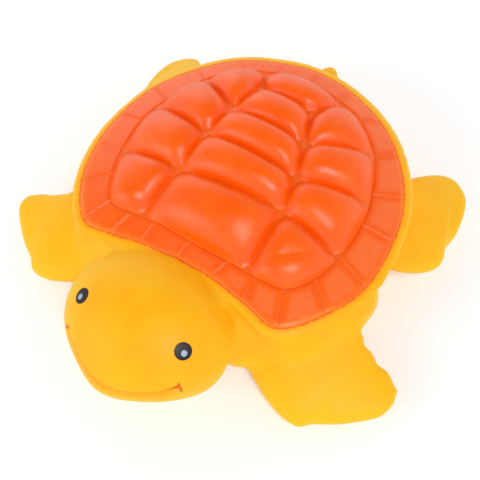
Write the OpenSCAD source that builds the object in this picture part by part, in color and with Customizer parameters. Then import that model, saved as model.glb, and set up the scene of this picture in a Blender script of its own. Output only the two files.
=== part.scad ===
// Squeezy bath turtle: a hollow soft vinyl skin with a painted shell and a snap-in squeaker.
// The nose points to -Y, the turtle's left is +X and up is +Z.
// The origin is on the flat of the belly, under the middle of the shell.

/* [Shell] */
// Width of the painted shell between its outer edges
shell_w = 75; // [70:0.5:80]
// Length of the painted shell along its centre line
shell_len = 65.6; // [62:0.2:70]
// Height of the shell's outer edge above the belly
rim_z = 21.5; // [20.5:0.5:24]
// Rise of the edge scutes from their outer edge to the crease
margin_rise = 1.3; // [0.8:0.1:2]
// Thickness of the edge scutes at their outer edge
margin_t = 2; // [1.6:0.1:2.4]
// Swell of each edge scute over its grooves
margin_swell = 0.45; // [0.2:0.05:0.8]
// Height of the dome over the crease, without its scutes
dome_rise = 8; // [6:0.5:9]
// Swell of each scute of the dome over the grooves round it
scute_swell = 2.2; // [1.4:0.1:2.6]
// Depth of the dome's skirt below the crease
skirt_h = 3; // [2.5:0.1:3.4]
// How far the dome goes in when the toy is squeezed
squeeze_travel = 6.5; // [4:0.5:6.5]

/* [Belly] */
// Width of the flat under the belly
belly_w = 54; // [48:1:58]
// Length of the flat under the belly
belly_len = 48; // [46:1:52]
// Thickness of the vinyl
wall = 2; // [1.6:0.1:2.2]
// How far the bare lip stands out past the painted shell
lip_out = 2.1; // [1.6:0.1:2.4]
// How far the side wall under the lip is set in from the shell's edge
wall_inset = 1; // [0.8:0.1:1.6]
// Width of the ledge that carries the edge scutes
ledge_w = 3.4; // [3:0.1:4.4]
// Bore of the air passage from the body to the head
neck_bore = 10; // [8:0.5:11]
// Height of that passage above the belly
neck_bore_z = 10.5; // [10:0.5:11]

/* [Head] */
// Reach of the nose in front of the shell
nose_out = 30.8; // [28:0.2:34]
// Width of the head
head_w = 38.6; // [35:0.2:40]
// Height of the head's widest line above the belly
head_mid_z = 15; // [14:0.5:16]
// Height of the crown above the widest line
head_up = 11.5; // [10:0.5:13]
// Depth of the chin below the widest line
head_down = 10; // [9:0.5:11]
// Diameter of a printed eye
eye_d = 3.8; // [3:0.1:4.6]
// Thickness of the eye's paint
eye_t = 0.3; // [0.2:0.05:0.5]

/* [Front flippers] */
// Reach of a front flipper out of the side wall
front_reach = 29.4; // [26:0.1:31]
// How far its leading edge goes in front of its root
front_lead = 15.6; // [14:0.1:17]
// Thickness at the root
front_t = 8; // [7:0.1:9]
// Height of the trailing edge over the leading edge at the root
front_twist = 6.2; // [5:0.1:7]

/* [Rear flippers] */
// Reach of a rear flipper out of the side wall
rear_reach = 17.7; // [15:0.1:19]
// How far its trailing corner goes behind its root
rear_trail = 21.8; // [19:0.1:23]
// Thickness at the root
rear_t = 8; // [7:0.1:9]
// Height of the trailing edge over the leading edge at the root
rear_twist = 6.5; // [5:0.1:7]
// Height of the flipper's underside above the table at its tip
rear_lift = 4.2; // [3:0.1:5]

/* [Tail] */
// Reach of the tail behind the shell
tail_out = 8.7; // [6:0.1:11]
// Width of the tail
tail_w = 8.6; // [7:0.1:10]
// Thickness of the tail
tail_t = 6.6; // [5.6:0.1:7]
// Height of the tail's tip above the belly
tail_tip_z = 17.6; // [16:0.1:18.4]

/* [Squeaker] */
// Distance of the squeaker behind the middle of the belly
squeaker_y = 11; // [10:0.1:12]
// Outer diameter of the squeaker's flange
flange_d = 16.4; // [15.6:0.1:17]
// Thickness of the flange
flange_t = 1; // [0.8:0.1:1.2]
// Outer diameter of the squeaker's barrel
barrel_d = 12.6; // [12.2:0.1:13]
// Height of the barrel with its flange
barrel_h = 8.6; // [8.4:0.1:9.4]
// Thickness of the barrel's wall
barrel_wall = 1; // [0.8:0.1:1.1]
// Diameter of the vent in the middle of the flange
vent_d = 3.5; // [2.5:0.1:4]
// Height of the step that carries the reed plate
step_z = 3.2; // [3:0.1:3.6]
// Width of that step
step_w = 0.8; // [0.6:0.1:1]
// Thickness of the reed plate and of the cap
plate_t = 1; // [0.8:0.1:1.2]
// Length of the reed
reed_l = 7; // [6.4:0.1:7.4]
// Length of the reed's fixed end
reed_fixed_l = 2; // [1.6:0.1:2.4]
// Width of the reed
reed_w = 2.8; // [2.4:0.1:3]
// Thickness of the reed
reed_t = 0.25; // [0.2:0.05:0.3]
// Lap of the reed over the edges of its slot
reed_lap = 0.3; // [0.2:0.05:0.4]
// Space over the reed, under the cap
reed_space = 1.4; // [1.2:0.1:1.8]
// Diameter of the air holes in the cap
air_hole_d = 1.6; // [1.2:0.1:1.8]
// Thickness of the socket wall that grips the barrel
socket_wall = 2.2; // [1.8:0.1:2.4]
// Height of the socket in the belly
socket_h = 7; // [6.4:0.1:7.2]

/* [Clearances] */
// Gap between the dome and the edge scutes
crease_gap = 0.3; // [0.3:0.05:0.4]
// Gap between the edge scutes and the lip
seam_gap = 0.2; // [0.15:0.05:0.3]
// Gap between the body and the root of the head, a flipper or the tail
root_gap = 0.35; // [0.3:0.05:0.45]
// Height of the front flippers above the table
floor_gap = 0.3; // [0.2:0.05:0.5]
// Radial gap between the squeaker's parts
plug_gap = 0.05; // [0.03:0.01:0.08]
// Gap between the reed and its plate
reed_gap = 0.08; // [0.06:0.01:0.12]

/* [Hidden] */

// Facets of the turned parts
$fn = 96;
// Overrun of every cut
cut_over = 1;
// A step along an outline, used to find its direction
step_share = 0.01;

skin_colour = "gold";
shell_colour = "orangered";
half_w = shell_w / 2;
half_len = shell_len / 2;
crease_z = rim_z + margin_rise;

// Ends of the grooves between the edge scutes, on the left half from front to rear.
// Each is a share of the shell's half width and half length.
edge_shares = [[0, -1], [0.24, -1.01], [0.46, -1.055], [0.675, -1.075], [0.865, -0.83], [0.98, -0.52],
    [1, -0.14], [0.93, 0.23], [0.765, 0.56], [0.55, 0.8], [0.27, 0.95], [0, 1]];
crease_shares = [[0, -0.85], [0.25, -0.85], [0.405, -0.85], [0.575, -0.85], [0.70, -0.67], [0.765, -0.43],
    [0.79, -0.14], [0.755, 0.11], [0.64, 0.43], [0.43, 0.665], [0.228, 0.76], [0, 0.795]];
margin_count = 2 * (len(edge_shares) - 1);

// Corners between the scutes down the middle of the dome, as the same shares
spine_shares = [[0.345, -0.43], [0.32, -0.134], [0.267, 0.155], [0.197, 0.485]];
// Where the dome's grooves meet the crease, in thirds of an edge scute from the front
crease_thirds = 3;
groove_marks = [5, 15, 20, 24, 29];
rear_mark_count = 33;
// Half width, half length and middle of the dome as shares of the shell's half sizes
dome_span_shares = [0.81, 0.82];
dome_mid_share = -0.03;
// Outlines of a swelling scute: share of its plan, share of its swell
swell_shares = [[1, 0], [0.955, 0.36], [0.87, 0.63], [0.74, 0.82], [0.57, 0.94], [0.33, 1]];

// Side wall of the belly: share of the rim's height, share of the way from belly flat to rim
wall_shares = [[0, 0], [0.03, 0.09], [0.08, 0.22], [0.2, 0.5], [0.4, 0.79], [0.6, 0.94], [0.765, 1]];
wall_top_share = 0.765;
// Bare lip: share of the rim's height, share of the lip's reach
lip_shares = [[0.79, -0.2], [0.84, 0.2], [0.89, 0.62], [0.93, 0.92], [0.95, 1], [0.968, 0.88], [0.983, 0.5],
    [0.993, 0.14]];
// Levels of the inner wall, from the ledge down
inner_shares = [0.79, 0.6, 0.4, 0.2];
// Sections of the edge scutes from one groove to the next, as shares of a scute, and their swell
margin_step_shares = [[0, -1], [0.05, 0], [0.13, 0.52], [0.27, 0.86], [0.5, 1], [0.73, 0.86], [0.87, 0.52],
    [0.95, 0]];

// Profile of the head from neck to nose: share of the reach, of the half width, crown and chin
head_shares = [[0.15, 0.84, 0.84, 0.87], [0.27, 0.96, 0.97, 0.97], [0.454, 1, 1, 1],
    [0.62, 0.94, 0.91, 0.96], [0.77, 0.79, 0.7, 0.84], [0.88, 0.6, 0.5, 0.67],
    [0.955, 0.385, 0.31, 0.46], [0.99, 0.2, 0.15, 0.25], [1, 0.08, 0.05, 0.08]];
head_points = 36;
// The neck on the body: half its width in edge scutes, and its foot and top as shares of the rim's height
neck_half_share = 1.6;
neck_foot_share = 0.24;
neck_top_share = 0.87;
neck_hole_half_share = 1.0;
neck_hole_shares = [0.36, 0.66];
neck_step_shares = [0, 0.05, 0.1, 0.15, 0.2, 0.27, 0.36, 0.5, 0.75, 1];
// Place of an eye on the head: share of the reach, and the turn from the widest line to the crown
eye_reach_share = 0.56;
eye_turn = 48;

// Loops across the end that faces the body, as shares of the root's thickness
root_fill_shares = [0.15, 0.4, 0.7, 1];
// A flipper's section: share of the chord from the leading edge, share of the thickness
blade_shares = [[0, 0.3], [0.04, 0.68], [0.12, 0.93], [0.25, 1], [0.4, 0.99], [0.55, 0.9], [0.7, 0.77], [0.85, 0.57],
    [0.95, 0.38], [1, 0.2]];
// Sections of a flipper out from its root: leading edge (reach, chord), trailing edge (reach, chord),
// thickness, twist and lift, each as a share
front_blade_shares = [
    [-0.186, 0.587, 0.46, -0.478, 0.8, 1, 0], [0.239, 0.94, 0.552, -0.433, 0.68, 0.9, 0],
    [0.416, 1, 0.62, -0.337, 0.62, 0.74, 0], [0.508, 0.952, 0.668, -0.33, 0.6, 0.66, 0],
    [0.552, 0.837, 0.722, -0.285, 0.58, 0.56, 0], [0.712, 0.683, 0.797, -0.24, 0.54, 0.45, 0],
    [0.858, 0.458, 0.892, -0.19, 0.5, 0.35, 0], [0.947, 0.234, 0.96, -0.15, 0.44, 0.22, 0.08],
    [0.994, 0.061, 0.997, -0.074, 0.28, 0.12, 0.2]];
front_root_shares = [1.9, 4.6];
front_root_z_share = 0.42;
rear_blade_shares = [
    [0.541, -0.474, 0.005, 0.494, 0.9, 1, 0.11], [0.739, -0.364, 0.157, 0.678, 0.8, 1.03, 0.04],
    [0.88, -0.267, 0.327, 0.907, 0.7, 0.83, 0], [0.988, -0.157, 0.502, 0.999, 0.62, 0.62, 0],
    [0.999, -0.006, 0.666, 0.999, 0.56, 0.38, 0], [0.959, 0.095, 0.795, 0.948, 0.5, 0.23, 0],
    [0.993, 0.333, 0.892, 0.852, 0.44, 0.12, 0.02], [0.993, 0.494, 0.949, 0.737, 0.3, 0.05, 0.07]];
rear_root_shares = [5.6, 8.6];
rear_root_z_share = 0.53;

// Sections of the tail: share of its reach, of its width, of its thickness and of the climb to its tip
tail_shares = [[0.08, 1, 1, 0], [0.48, 0.94, 0.92, 0.4], [0.83, 0.74, 0.7, 0.8], [1, 0.36, 0.3, 1]];
tail_root_z_share = 0.55;
tail_half_share = 0.42;
tail_points = 16;

barrel_r = barrel_d / 2;
barrel_bore_r = barrel_r - barrel_wall;
socket_bore_r = barrel_r + plug_gap;
recess_h = flange_t + 2 * plug_gap;
plate_r = barrel_bore_r - plug_gap;
plate_top = step_z + plate_t;
cap_z = plate_top + reed_space;
slot_w = reed_w - 2 * reed_lap;
slot_l = reed_l - reed_fixed_l - reed_lap;
reed_y = squeaker_y - plate_r + step_w + reed_fixed_l / 4;
slot_y = reed_y + reed_fixed_l;
snap_h = barrel_h - socket_h - plug_gap;

function blend(a, b, share) = a * (1 - share) + b * share;
function sum(list, i = 0) = i == len(list) - 1 ? list[i] : list[i] + sum(list, i + 1);
function middle(list) = sum(list) / len(list);

// Row of outline points, mirrored to the right half of the shell
function row_point(shares, i) =
    let (k = (i % margin_count + margin_count) % margin_count, last = len(shares) - 1)
    k <= last ? [shares[k].x * half_w, shares[k].y * half_len]
    : [-shares[margin_count - k].x * half_w, shares[margin_count - k].y * half_len];

// Smooth curve through the row, at t edge scutes from the front
function curve(shares, t) =
    let (i = floor(t), f = t - i, a = row_point(shares, i - 1), b = row_point(shares, i),
        c = row_point(shares, i + 1), d = row_point(shares, i + 2))
    0.5 * (2 * b + (c - a) * f + (2 * a - 5 * b + 4 * c - d) * f ^ 2 + (3 * b - a - 3 * c + d) * f ^ 3);

// The same curve moved straight outwards
function offset_curve(shares, t, out) =
    let (along = curve(shares, t + step_share) - curve(shares, t - step_share))
    curve(shares, t) + out * [along.y, -along.x] / norm(along);

// Edge of the flat under the belly, in the direction of point t of the rim
function belly_edge(t) =
    let (p = curve(edge_shares, t), turn = atan2(p.x / half_w, -p.y / half_len))
    [belly_w / 2 * sin(turn), -belly_len / 2 * cos(turn)];

// Outer surface of the body at rim point t and share s of the rim's height, moved outwards
lip_reach = concat([[wall_top_share, -wall_inset]], [for (row = lip_shares) [row[0], row[1] * lip_out]]);
function skin_plan(t, s, out = 0) =
    let (reach = s <= wall_top_share ? -wall_inset : lookup(s, lip_reach))
    blend(belly_edge(t), offset_curve(edge_shares, t, reach), lookup(s, wall_shares))
    + offset_curve(edge_shares, t, out) - curve(edge_shares, t);
function skin_point(t, s, out = 0) = let (p = skin_plan(t, s, out)) [p.x, p.y, s * rim_z];

// Steps round the whole rim, in thirds of an edge scute
rim_steps = [for (i = [0 : crease_thirds * margin_count - 1]) i / crease_thirds];
function flat_ring(out, z) = [for (t = rim_steps) let (p = offset_curve(edge_shares, t, out)) [p.x, p.y, z]];

// Groove level of the dome over a point of the plan
function dome_z(p) =
    let (mid_y = dome_mid_share * half_len, x = p.x / (dome_span_shares.x * half_w),
        y = (p.y - mid_y) / (dome_span_shares.y * half_len))
    crease_z + dome_rise * max(0, 1 - x ^ 2 - y ^ 2);

function spine_corner(i, side) = [side * spine_shares[i].x * half_w, spine_shares[i].y * half_len];
// Stretch of the crease between two marks, always run front to rear on the left
function crease_run(from, to) = [for (i = [from : to]) curve(crease_shares, i / crease_thirds)];
function mirrored(points) = [for (p = points) [-p.x, p.y]];

// Surface of the head at a share of its reach, turned from the widest line towards the crown
function head_point(share, turn, shrink = 0) =
    let (half = lookup(share, [for (row = head_shares) [row[0], row[1] * head_w / 2]]),
        up = lookup(share, [for (row = head_shares) [row[0], row[2] * head_up]]),
        down = lookup(share, [for (row = head_shares) [row[0], row[3] * head_down]]),
        tall = sin(turn) > 0 ? up : down)
    [-max(half - shrink, shrink / 2) * cos(turn), -half_len - share * nose_out,
        head_mid_z + max(tall - shrink, shrink / 2) * sin(turn)];
head_turns = [for (i = [0 : head_points - 1]) i * 360 / head_points];

// Closed solid through rings of equally many points
module loft(rings) {
    n = len(rings[0]);
    last = len(rings) - 1;
    walls = [for (j = [0 : last - 1], i = [0 : n - 1]) let (a = j * n + i, b = j * n + (i + 1) % n)
        each [[a, a + n, b + n], [a, b + n, b]]];
    // Each end is closed by a ladder of rungs between its two halves
    rungs = [for (i = [0 : n / 2 - 2]) [i, i + 1, n - 2 - i, n - 1 - i]];
    foot = [for (r = rungs) each [[r[0], r[1], r[2]], [r[0], r[2], r[3]]]];
    head = [for (r = rungs) each [[r[2], r[1], r[0]], [r[3], r[2], r[0]]]];
    polyhedron([for (ring = rings) each ring],
        concat(walls, foot, [for (f = head) [for (i = f) i + last * n]]), convexity = 6);
}

// Closed band through sections that run round in a loop
module band(sections) {
    n = len(sections[0]);
    m = len(sections);
    polyhedron([for (section = sections) each section],
        [for (j = [0 : m - 1], i = [0 : n - 1])
            let (a = j * n + i, b = j * n + (i + 1) % n, c = (j + 1) % m * n + i, d = (j + 1) % m * n + (i + 1) % n)
            each [[a, c, d], [a, d, b]]], convexity = 6);
}

// Lower half of the skin: belly flat, side wall, bare lip and the ledge under the edge scutes
module belly_skin() {
    ledge_z = rim_z - margin_t;
    outer = [for (row = concat(wall_shares, lip_shares)) [for (t = rim_steps) skin_point(t, row[0])]];
    top_z = rim_z * lip_shares[len(lip_shares) - 1][0];
    seat = [flat_ring(0, top_z), flat_ring(0, ledge_z), flat_ring(-ledge_w, ledge_z)];
    inner = [for (s = inner_shares) [for (t = rim_steps) let (p = skin_plan(t, min(s, wall_top_share), -wall))
        [p.x, p.y, s * rim_z]]];
    floor_ring = [for (t = rim_steps) let (p = skin_plan(t, wall / rim_z, -wall)) [p.x, p.y, wall]];
    socket_r = socket_bore_r + socket_wall;
    color(skin_colour) difference() {
        union() {
            loft(concat(outer, seat, inner, [floor_ring]));
            translate([0, squeaker_y, wall / 2]) cylinder(r = socket_r, h = socket_h - wall / 2);
        }
        translate([0, squeaker_y, -cut_over]) cylinder(r = flange_d / 2 + plug_gap, h = cut_over + recess_h);
        translate([0, squeaker_y, -cut_over]) cylinder(r = socket_bore_r, h = socket_h + 2 * cut_over);
        translate([0, -belly_len / 4, neck_bore_z]) rotate([90, 0, 0])
            cylinder(r = neck_bore / 2, h = half_len);
    }
}

// Ring of painted edge scutes round the dome, parted by grooves
module shell_margin() {
    base_z = rim_z - margin_t;
    sections = [for (i = [margin_count - 1 : -1 : 0], j = [len(margin_step_shares) - 1 : -1 : 0])
        let (row = margin_step_shares[j], t = i + row[0], swell = row[1] * margin_swell,
            edge = offset_curve(edge_shares, t, -seam_gap), crease = offset_curve(crease_shares, t, crease_gap),
            inner = blend(crease, edge, 0.12), outer = blend(crease, edge, 0.9))
        [[crease.x, crease.y, base_z], [crease.x, crease.y, crease_z - margin_swell],
            [inner.x, inner.y, crease_z + swell], [outer.x, outer.y, rim_z + swell],
            [edge.x, edge.y, rim_z - margin_swell], [edge.x, edge.y, base_z]]];
    color(shell_colour) band(sections);
}

// One swelling scute of the dome over its plan
module scute(plan) {
    mid = middle(plan);
    points = concat([for (p = plan) [p.x, p.y, crease_z - skirt_h]],
        [for (row = swell_shares, p = plan) let (q = blend(mid, p, row[0]))
            [q.x, q.y, dome_z(q) + row[1] * scute_swell]]);
    hull() polyhedron(points, [[for (i = [0 : len(points) - 1]) i]]);
}

// Painted dome of thirteen scutes, the part that is pressed in
module shell_dome() {
    flank_plans = [
        concat(crease_run(groove_marks[0], groove_marks[1]), [spine_corner(0, 1)]),
        for (i = [1 : 3]) concat(crease_run(groove_marks[i], groove_marks[i + 1]),
            [spine_corner(i, 1), spine_corner(i - 1, 1)])];
    middle_plans = [
        concat(crease_run(-groove_marks[0], groove_marks[0]), [spine_corner(0, 1), spine_corner(0, -1)]),
        for (i = [0 : 2]) [spine_corner(i, 1), spine_corner(i + 1, 1), spine_corner(i + 1, -1), spine_corner(i, -1)],
        concat(crease_run(groove_marks[4], 2 * rear_mark_count - groove_marks[4]),
            [spine_corner(3, -1), spine_corner(3, 1)])];
    color(shell_colour) difference() {
        union() for (plan = concat(flank_plans, [for (p = flank_plans) mirrored(p)], middle_plans)) scute(plan);
        // Hollow of the dome, a wall's thickness inside its grooves
        hull() for (row = [[0.93, -1], [0.93, 0.05], [0.8, 0.35], [0.5, 0.78], [0.2, 0.97]]) {
            level = row[1] < 0 ? crease_z - skirt_h - cut_over : crease_z + row[1] * dome_rise - wall;
            plan = [for (p = crease_run(0, 2 * rear_mark_count - 1)) p * row[0]];
            translate([0, 0, level]) linear_extrude(wall * step_share) polygon(plan);
        }
    }
}

// Ring of the neck on the body, from its outline (share 0) in to the air passage (share 1)
function neck_ring(share) =
    let (half = blend(neck_half_share, neck_hole_half_share, share),
        foot = blend(neck_foot_share, neck_hole_shares[0], share),
        top = blend(neck_top_share, neck_hole_shares[1], share))
    [for (turn = head_turns) skin_point(-half * cos(turn), (foot + top) / 2 + (top - foot) / 2 * sin(turn), root_gap)];

// Hollow head, open to the body at the neck
module head() {
    last = len(head_shares) - 1;
    outer = [for (j = [last : -1 : 0]) [for (turn = head_turns) head_point(head_shares[j][0], turn)]];
    neck = [for (share = neck_step_shares) neck_ring(share)];
    inner = [for (j = [0 : last - 2]) [for (turn = head_turns) head_point(head_shares[j][0], turn, wall)]];
    color(skin_colour) loft(concat(outer, neck, inner));
}

// Printed eye, a thin disc that lies on the head
module eye(side) {
    p = head_point(eye_reach_share, eye_turn);
    across = head_point(eye_reach_share, eye_turn + 1) - head_point(eye_reach_share, eye_turn - 1);
    along = head_point(eye_reach_share + step_share, eye_turn) - head_point(eye_reach_share - step_share, eye_turn);
    up = cross(along, across) / norm(cross(along, across));
    tilt = acos(up.z);
    spin = atan2(up.y, side * -up.x);
    color("black") translate([side * -p.x, p.y, p.z]) rotate([0, tilt, spin])
        translate([0, 0, eye_t / 2]) cylinder(d = eye_d, h = eye_t);
}

module eye_left() {
    eye(1);
}

module eye_right() {
    eye(-1);
}

// Loop of a flipper's section: over the top from the trailing edge, back under it
function blade_loop(point) = concat(
    [for (i = [len(blade_shares) - 1 : -1 : 0]) point(blade_shares[i][0], blade_shares[i][1] / 2)],
    [for (row = blade_shares) point(row[0], -row[1] / 2)]);

// Flipper on the left side. The root is a pair of rim points, forward is -1 where the chord runs to the nose
module flipper(rows, root, root_z_share, reach, chord, forward, thick, twist, lift) {
    base = skin_plan((root[0] + root[1]) / 2, root_z_share);
    root_mid_z = root_z_share * rim_z;
    // The root lies on the side wall and leans as the first section does
    root_loops = [for (fill = root_fill_shares) blade_loop(function (along, high)
        skin_point(blend(root[0], root[1], along),
            (root_mid_z + (along - 0.5) * twist + high * fill * thick) / rim_z, root_gap))];
    loops = [for (row = rows) blade_loop(function (along, high)
        let (lead = base + [row[0] * reach, forward * row[1] * chord],
            trail = base + [row[2] * reach, forward * row[3] * chord],
            plan = blend(lead, trail, along),
            low = lift + row[4] * thick / 2 + row[6] * thick)
        [plan.x, plan.y, low + along * row[5] * twist + high * row[4] * thick])];
    color(skin_colour) loft(concat(root_loops, loops));
}

module flipper_front_left() {
    flipper(front_blade_shares, front_root_shares, front_root_z_share, front_reach, front_lead, -1,
        front_t, front_twist, floor_gap);
}

module flipper_front_right() {
    mirror([1, 0, 0]) flipper_front_left();
}

module flipper_rear_left() {
    flipper(rear_blade_shares, rear_root_shares, rear_root_z_share, rear_reach, rear_trail, 1,
        rear_t, rear_twist, rear_lift);
}

module flipper_rear_right() {
    mirror([1, 0, 0]) flipper_rear_left();
}

// Short blunt tail under the rear of the lip
module tail() {
    turns = [for (i = [0 : tail_points - 1]) i * 360 / tail_points];
    root_z = tail_root_z_share * rim_z;
    rear_t_mark = margin_count / 2;
    root_loops = [for (fill = root_fill_shares) [for (a = turns)
        skin_point(rear_t_mark + tail_half_share * cos(a), (root_z + fill * tail_t / 2 * sin(a)) / rim_z, root_gap)]];
    loops = [for (row = tail_shares) [for (a = turns)
        [-row[1] * tail_w / 2 * cos(a), half_len + row[0] * tail_out,
            blend(root_z, tail_tip_z, row[3]) + row[2] * tail_t / 2 * sin(a)]]];
    color(skin_colour) loft(concat(root_loops, loops));
}

// Squeaker's housing: flange, barrel and snap ridge, with the vent and the step for the reed plate
module squeaker_housing() {
    color("white") translate([0, squeaker_y, 0]) difference() {
        union() {
            translate([0, 0, plug_gap]) cylinder(d = flange_d, h = flange_t);
            translate([0, 0, plug_gap]) cylinder(r = barrel_r, h = barrel_h - plug_gap);
            translate([0, 0, barrel_h - snap_h]) cylinder(r = barrel_r + step_w / 2, h = snap_h / 2);
        }
        translate([0, 0, -cut_over]) cylinder(d = vent_d, h = barrel_h);
        translate([0, 0, flange_t + plug_gap]) cylinder(r = barrel_bore_r - step_w, h = barrel_h);
        translate([0, 0, step_z]) cylinder(r = barrel_bore_r, h = barrel_h);
    }
}

// Plate with the slot that the reed closes
module squeaker_plate() {
    color("white") difference() {
        translate([0, squeaker_y, step_z]) cylinder(r = plate_r, h = plate_t);
        translate([-slot_w / 2, slot_y, step_z - cut_over]) cube([slot_w, slot_l, plate_t + 2 * cut_over]);
    }
}

// Thin reed over the slot, fixed at its front end and free at the other
module squeaker_reed() {
    color("silver") translate([-reed_w / 2, reed_y, plate_top + reed_gap]) cube([reed_w, reed_l, reed_t]);
}

// Cap that holds the plate down, with its air holes
module squeaker_cap() {
    hole_r = plate_r * 0.55;
    color("white") translate([0, squeaker_y, 0]) difference() {
        translate([0, 0, plate_top]) cylinder(r = plate_r, h = reed_space + plate_t);
        translate([0, 0, plate_top - cut_over]) cylinder(r = plate_r - step_w, h = reed_space + cut_over);
        for (turn = [0 : 90 : 270]) rotate(turn + 45) translate([hole_r, 0, cap_z - cut_over])
            cylinder(d = air_hole_d, h = plate_t + 2 * cut_over);
    }
}

belly_skin();
shell_margin();
shell_dome();
head();
eye_left();
eye_right();
tail();
flipper_front_left();
flipper_front_right();
flipper_rear_left();
flipper_rear_right();
squeaker_housing();
squeaker_plate();
squeaker_reed();
squeaker_cap();
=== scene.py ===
import math

import bmesh
import bpy
import numpy as np
from mathutils import Euler, Matrix, Vector
from mathutils.bvhtree import BVHTree


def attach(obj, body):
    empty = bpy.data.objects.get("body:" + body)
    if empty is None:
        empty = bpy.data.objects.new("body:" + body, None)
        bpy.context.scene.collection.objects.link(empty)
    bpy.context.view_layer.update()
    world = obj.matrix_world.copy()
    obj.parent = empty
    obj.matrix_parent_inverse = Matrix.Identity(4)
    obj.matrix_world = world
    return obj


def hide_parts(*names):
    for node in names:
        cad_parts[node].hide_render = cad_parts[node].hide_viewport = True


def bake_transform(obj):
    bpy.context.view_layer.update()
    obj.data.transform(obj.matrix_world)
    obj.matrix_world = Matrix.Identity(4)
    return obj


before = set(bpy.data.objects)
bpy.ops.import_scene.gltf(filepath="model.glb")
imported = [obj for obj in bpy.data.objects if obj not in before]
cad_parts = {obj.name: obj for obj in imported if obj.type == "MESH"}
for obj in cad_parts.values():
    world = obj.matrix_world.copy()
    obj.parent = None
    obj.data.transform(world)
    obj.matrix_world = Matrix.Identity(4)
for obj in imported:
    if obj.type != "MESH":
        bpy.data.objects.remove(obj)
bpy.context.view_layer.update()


# The skin: belly, side wall, lip, head, four flippers and tail are one hollow rotocast moulding
# of soft yellow vinyl. The limbs flow into the body, and a thin flash line runs round the lip,
# where the halves of the mould met.

mm = 0.001
scene = bpy.context.scene

# The rim under the shell: half sizes, height, and the ends of the grooves between its edge tiles
# as shares of the half sizes, from the front round the left side to the rear and back on the right
rim_half_width = 37.5
rim_half_length = 32.8
rim_height = 21.42
edge_shares = [(-0.03, -1), (0.21, -0.995), (0.45, -1.04), (0.685, -1.078), (0.873, -0.835),
               (0.99, -0.535), (1, -0.13), (0.93, 0.24), (0.757, 0.575), (0.537, 0.815), (0.26, 0.975),
               (-0.02, 1.035), (-0.275, 0.985), (-0.565, 0.825), (-0.785, 0.555), (-0.942, 0.21),
               (-0.992, -0.165), (-0.965, -0.5), (-0.858, -0.825), (-0.668, -1.072), (-0.47, -1.07),
               (-0.275, -1.02)]
tile_count = len(edge_shares)


def curve_between(a, b, c, d, share):
    """Points on the smooth curve from b to c, with a before it and d after it."""
    return 0.5 * (2 * b + (c - a) * share + (2 * a - 5 * b + 4 * c - d) * share ** 2
                  + (3 * b - a - 3 * c + d) * share ** 3)


def outline(shares, turn):
    """Points of a closed outline in mm, turn edge tiles from the front."""
    corners = np.array(shares) * (rim_half_width, rim_half_length)
    turn = np.atleast_1d(np.asarray(turn, float)) % len(corners)
    start = np.floor(turn).astype(int)
    around = (corners[(start + step) % len(corners)] for step in (-1, 0, 1, 2))
    return curve_between(*around, (turn - start)[:, None])


def moved_out(shares, turn, out):
    """The same outline, moved straight outwards by out mm."""
    turn = np.atleast_1d(np.asarray(turn, float))
    step = 0.02
    along = outline(shares, turn + step) - outline(shares, turn - step)
    aside = np.stack([along[:, 1], -along[:, 0]], 1)
    far = np.atleast_1d(out)[:, None]
    return outline(shares, turn) + far * aside / np.linalg.norm(aside, axis=1)[:, None]


def smooth_rows(rows, place):
    """Rows of numbers read along a smooth curve, where place runs from 0 to the last row."""
    rows = np.asarray(rows, float)
    place = np.clip(np.atleast_1d(np.asarray(place, float)), 0, len(rows) - 1)
    start = np.minimum(np.floor(place).astype(int), len(rows) - 2)
    b, c = rows[start], rows[start + 1]
    a = np.where((start > 0)[:, None], rows[np.maximum(start - 1, 0)], 2 * b - c)
    beyond = rows[np.minimum(start + 2, len(rows) - 1)]
    d = np.where((start < len(rows) - 2)[:, None], beyond, 2 * c - b)
    return curve_between(a, b, c, d, (place - start)[:, None])


def from_bmesh(name, bm):
    """Object at the origin with that mesh."""
    mesh = bpy.data.meshes.new(name)
    bm.to_mesh(mesh)
    bm.free()
    piece = bpy.data.objects.new(name, mesh)
    scene.collection.objects.link(piece)
    return piece


def work_in(piece):
    """Works the piece's modifiers into its mesh."""
    done = bpy.data.meshes.new_from_object(piece.evaluated_get(bpy.context.evaluated_depsgraph_get()))
    piece.modifiers.clear()
    piece.data = done
    return piece


def faced(bm, way):
    """Turns a sheet's faces that way and shades them smooth."""
    if sum(f.normal.dot(way) for f in bm.faces) < 0:
        bmesh.ops.reverse_faces(bm, faces=bm.faces)
    for face in bm.faces:
        face.smooth = True


def places(verts):
    """Where points are, in mm."""
    return np.array([v.co for v in verts]) / mm


# Side wall and lip outside, and the hollow inside. A wall row is height, share of the way from the
# belly's edge to the rim, and how far out of that line. The lip stands out further at the rear.
belly_half_width = 27
belly_half_length = 24
outer_rows = [(0, 0, 0), (0.65, 0.09, 0), (1.7, 0.22, 0), (4.3, 0.5, -0.5), (8.6, 0.79, -0.8),
              (12.9, 0.94, -0.95), (16.4, 1, -1), (17, 1, -0.5), (18.1, 1, 0.4), (19.1, 1, 1.25),
              (19.8, 1, 1.85), (20.2, 1, 2.1), (20.6, 1, 2.02), (20.95, 1, 1.5), (21.22, 1, 0.9),
              (21.42, 1, 0.3), (21.5, 1, -0.3), (20.9, 1, -1.5), (19.6, 1, -3.1), (19.2, 1, -6)]
hollow_rows = [(22.5, 1, -3.3), (16.4, 1, -3.3), (12.9, 0.94, -3.2), (8.6, 0.79, -3.2),
               (4.6, 0.5, -3.2), (2.9, 0.26, -2.9), (2, 0.1, -2.3)]
rear_lip_share = 0.35
wall_points = 176
squeaker_y = 11
socket_radius = 8.55
socket_height = 7


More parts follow.
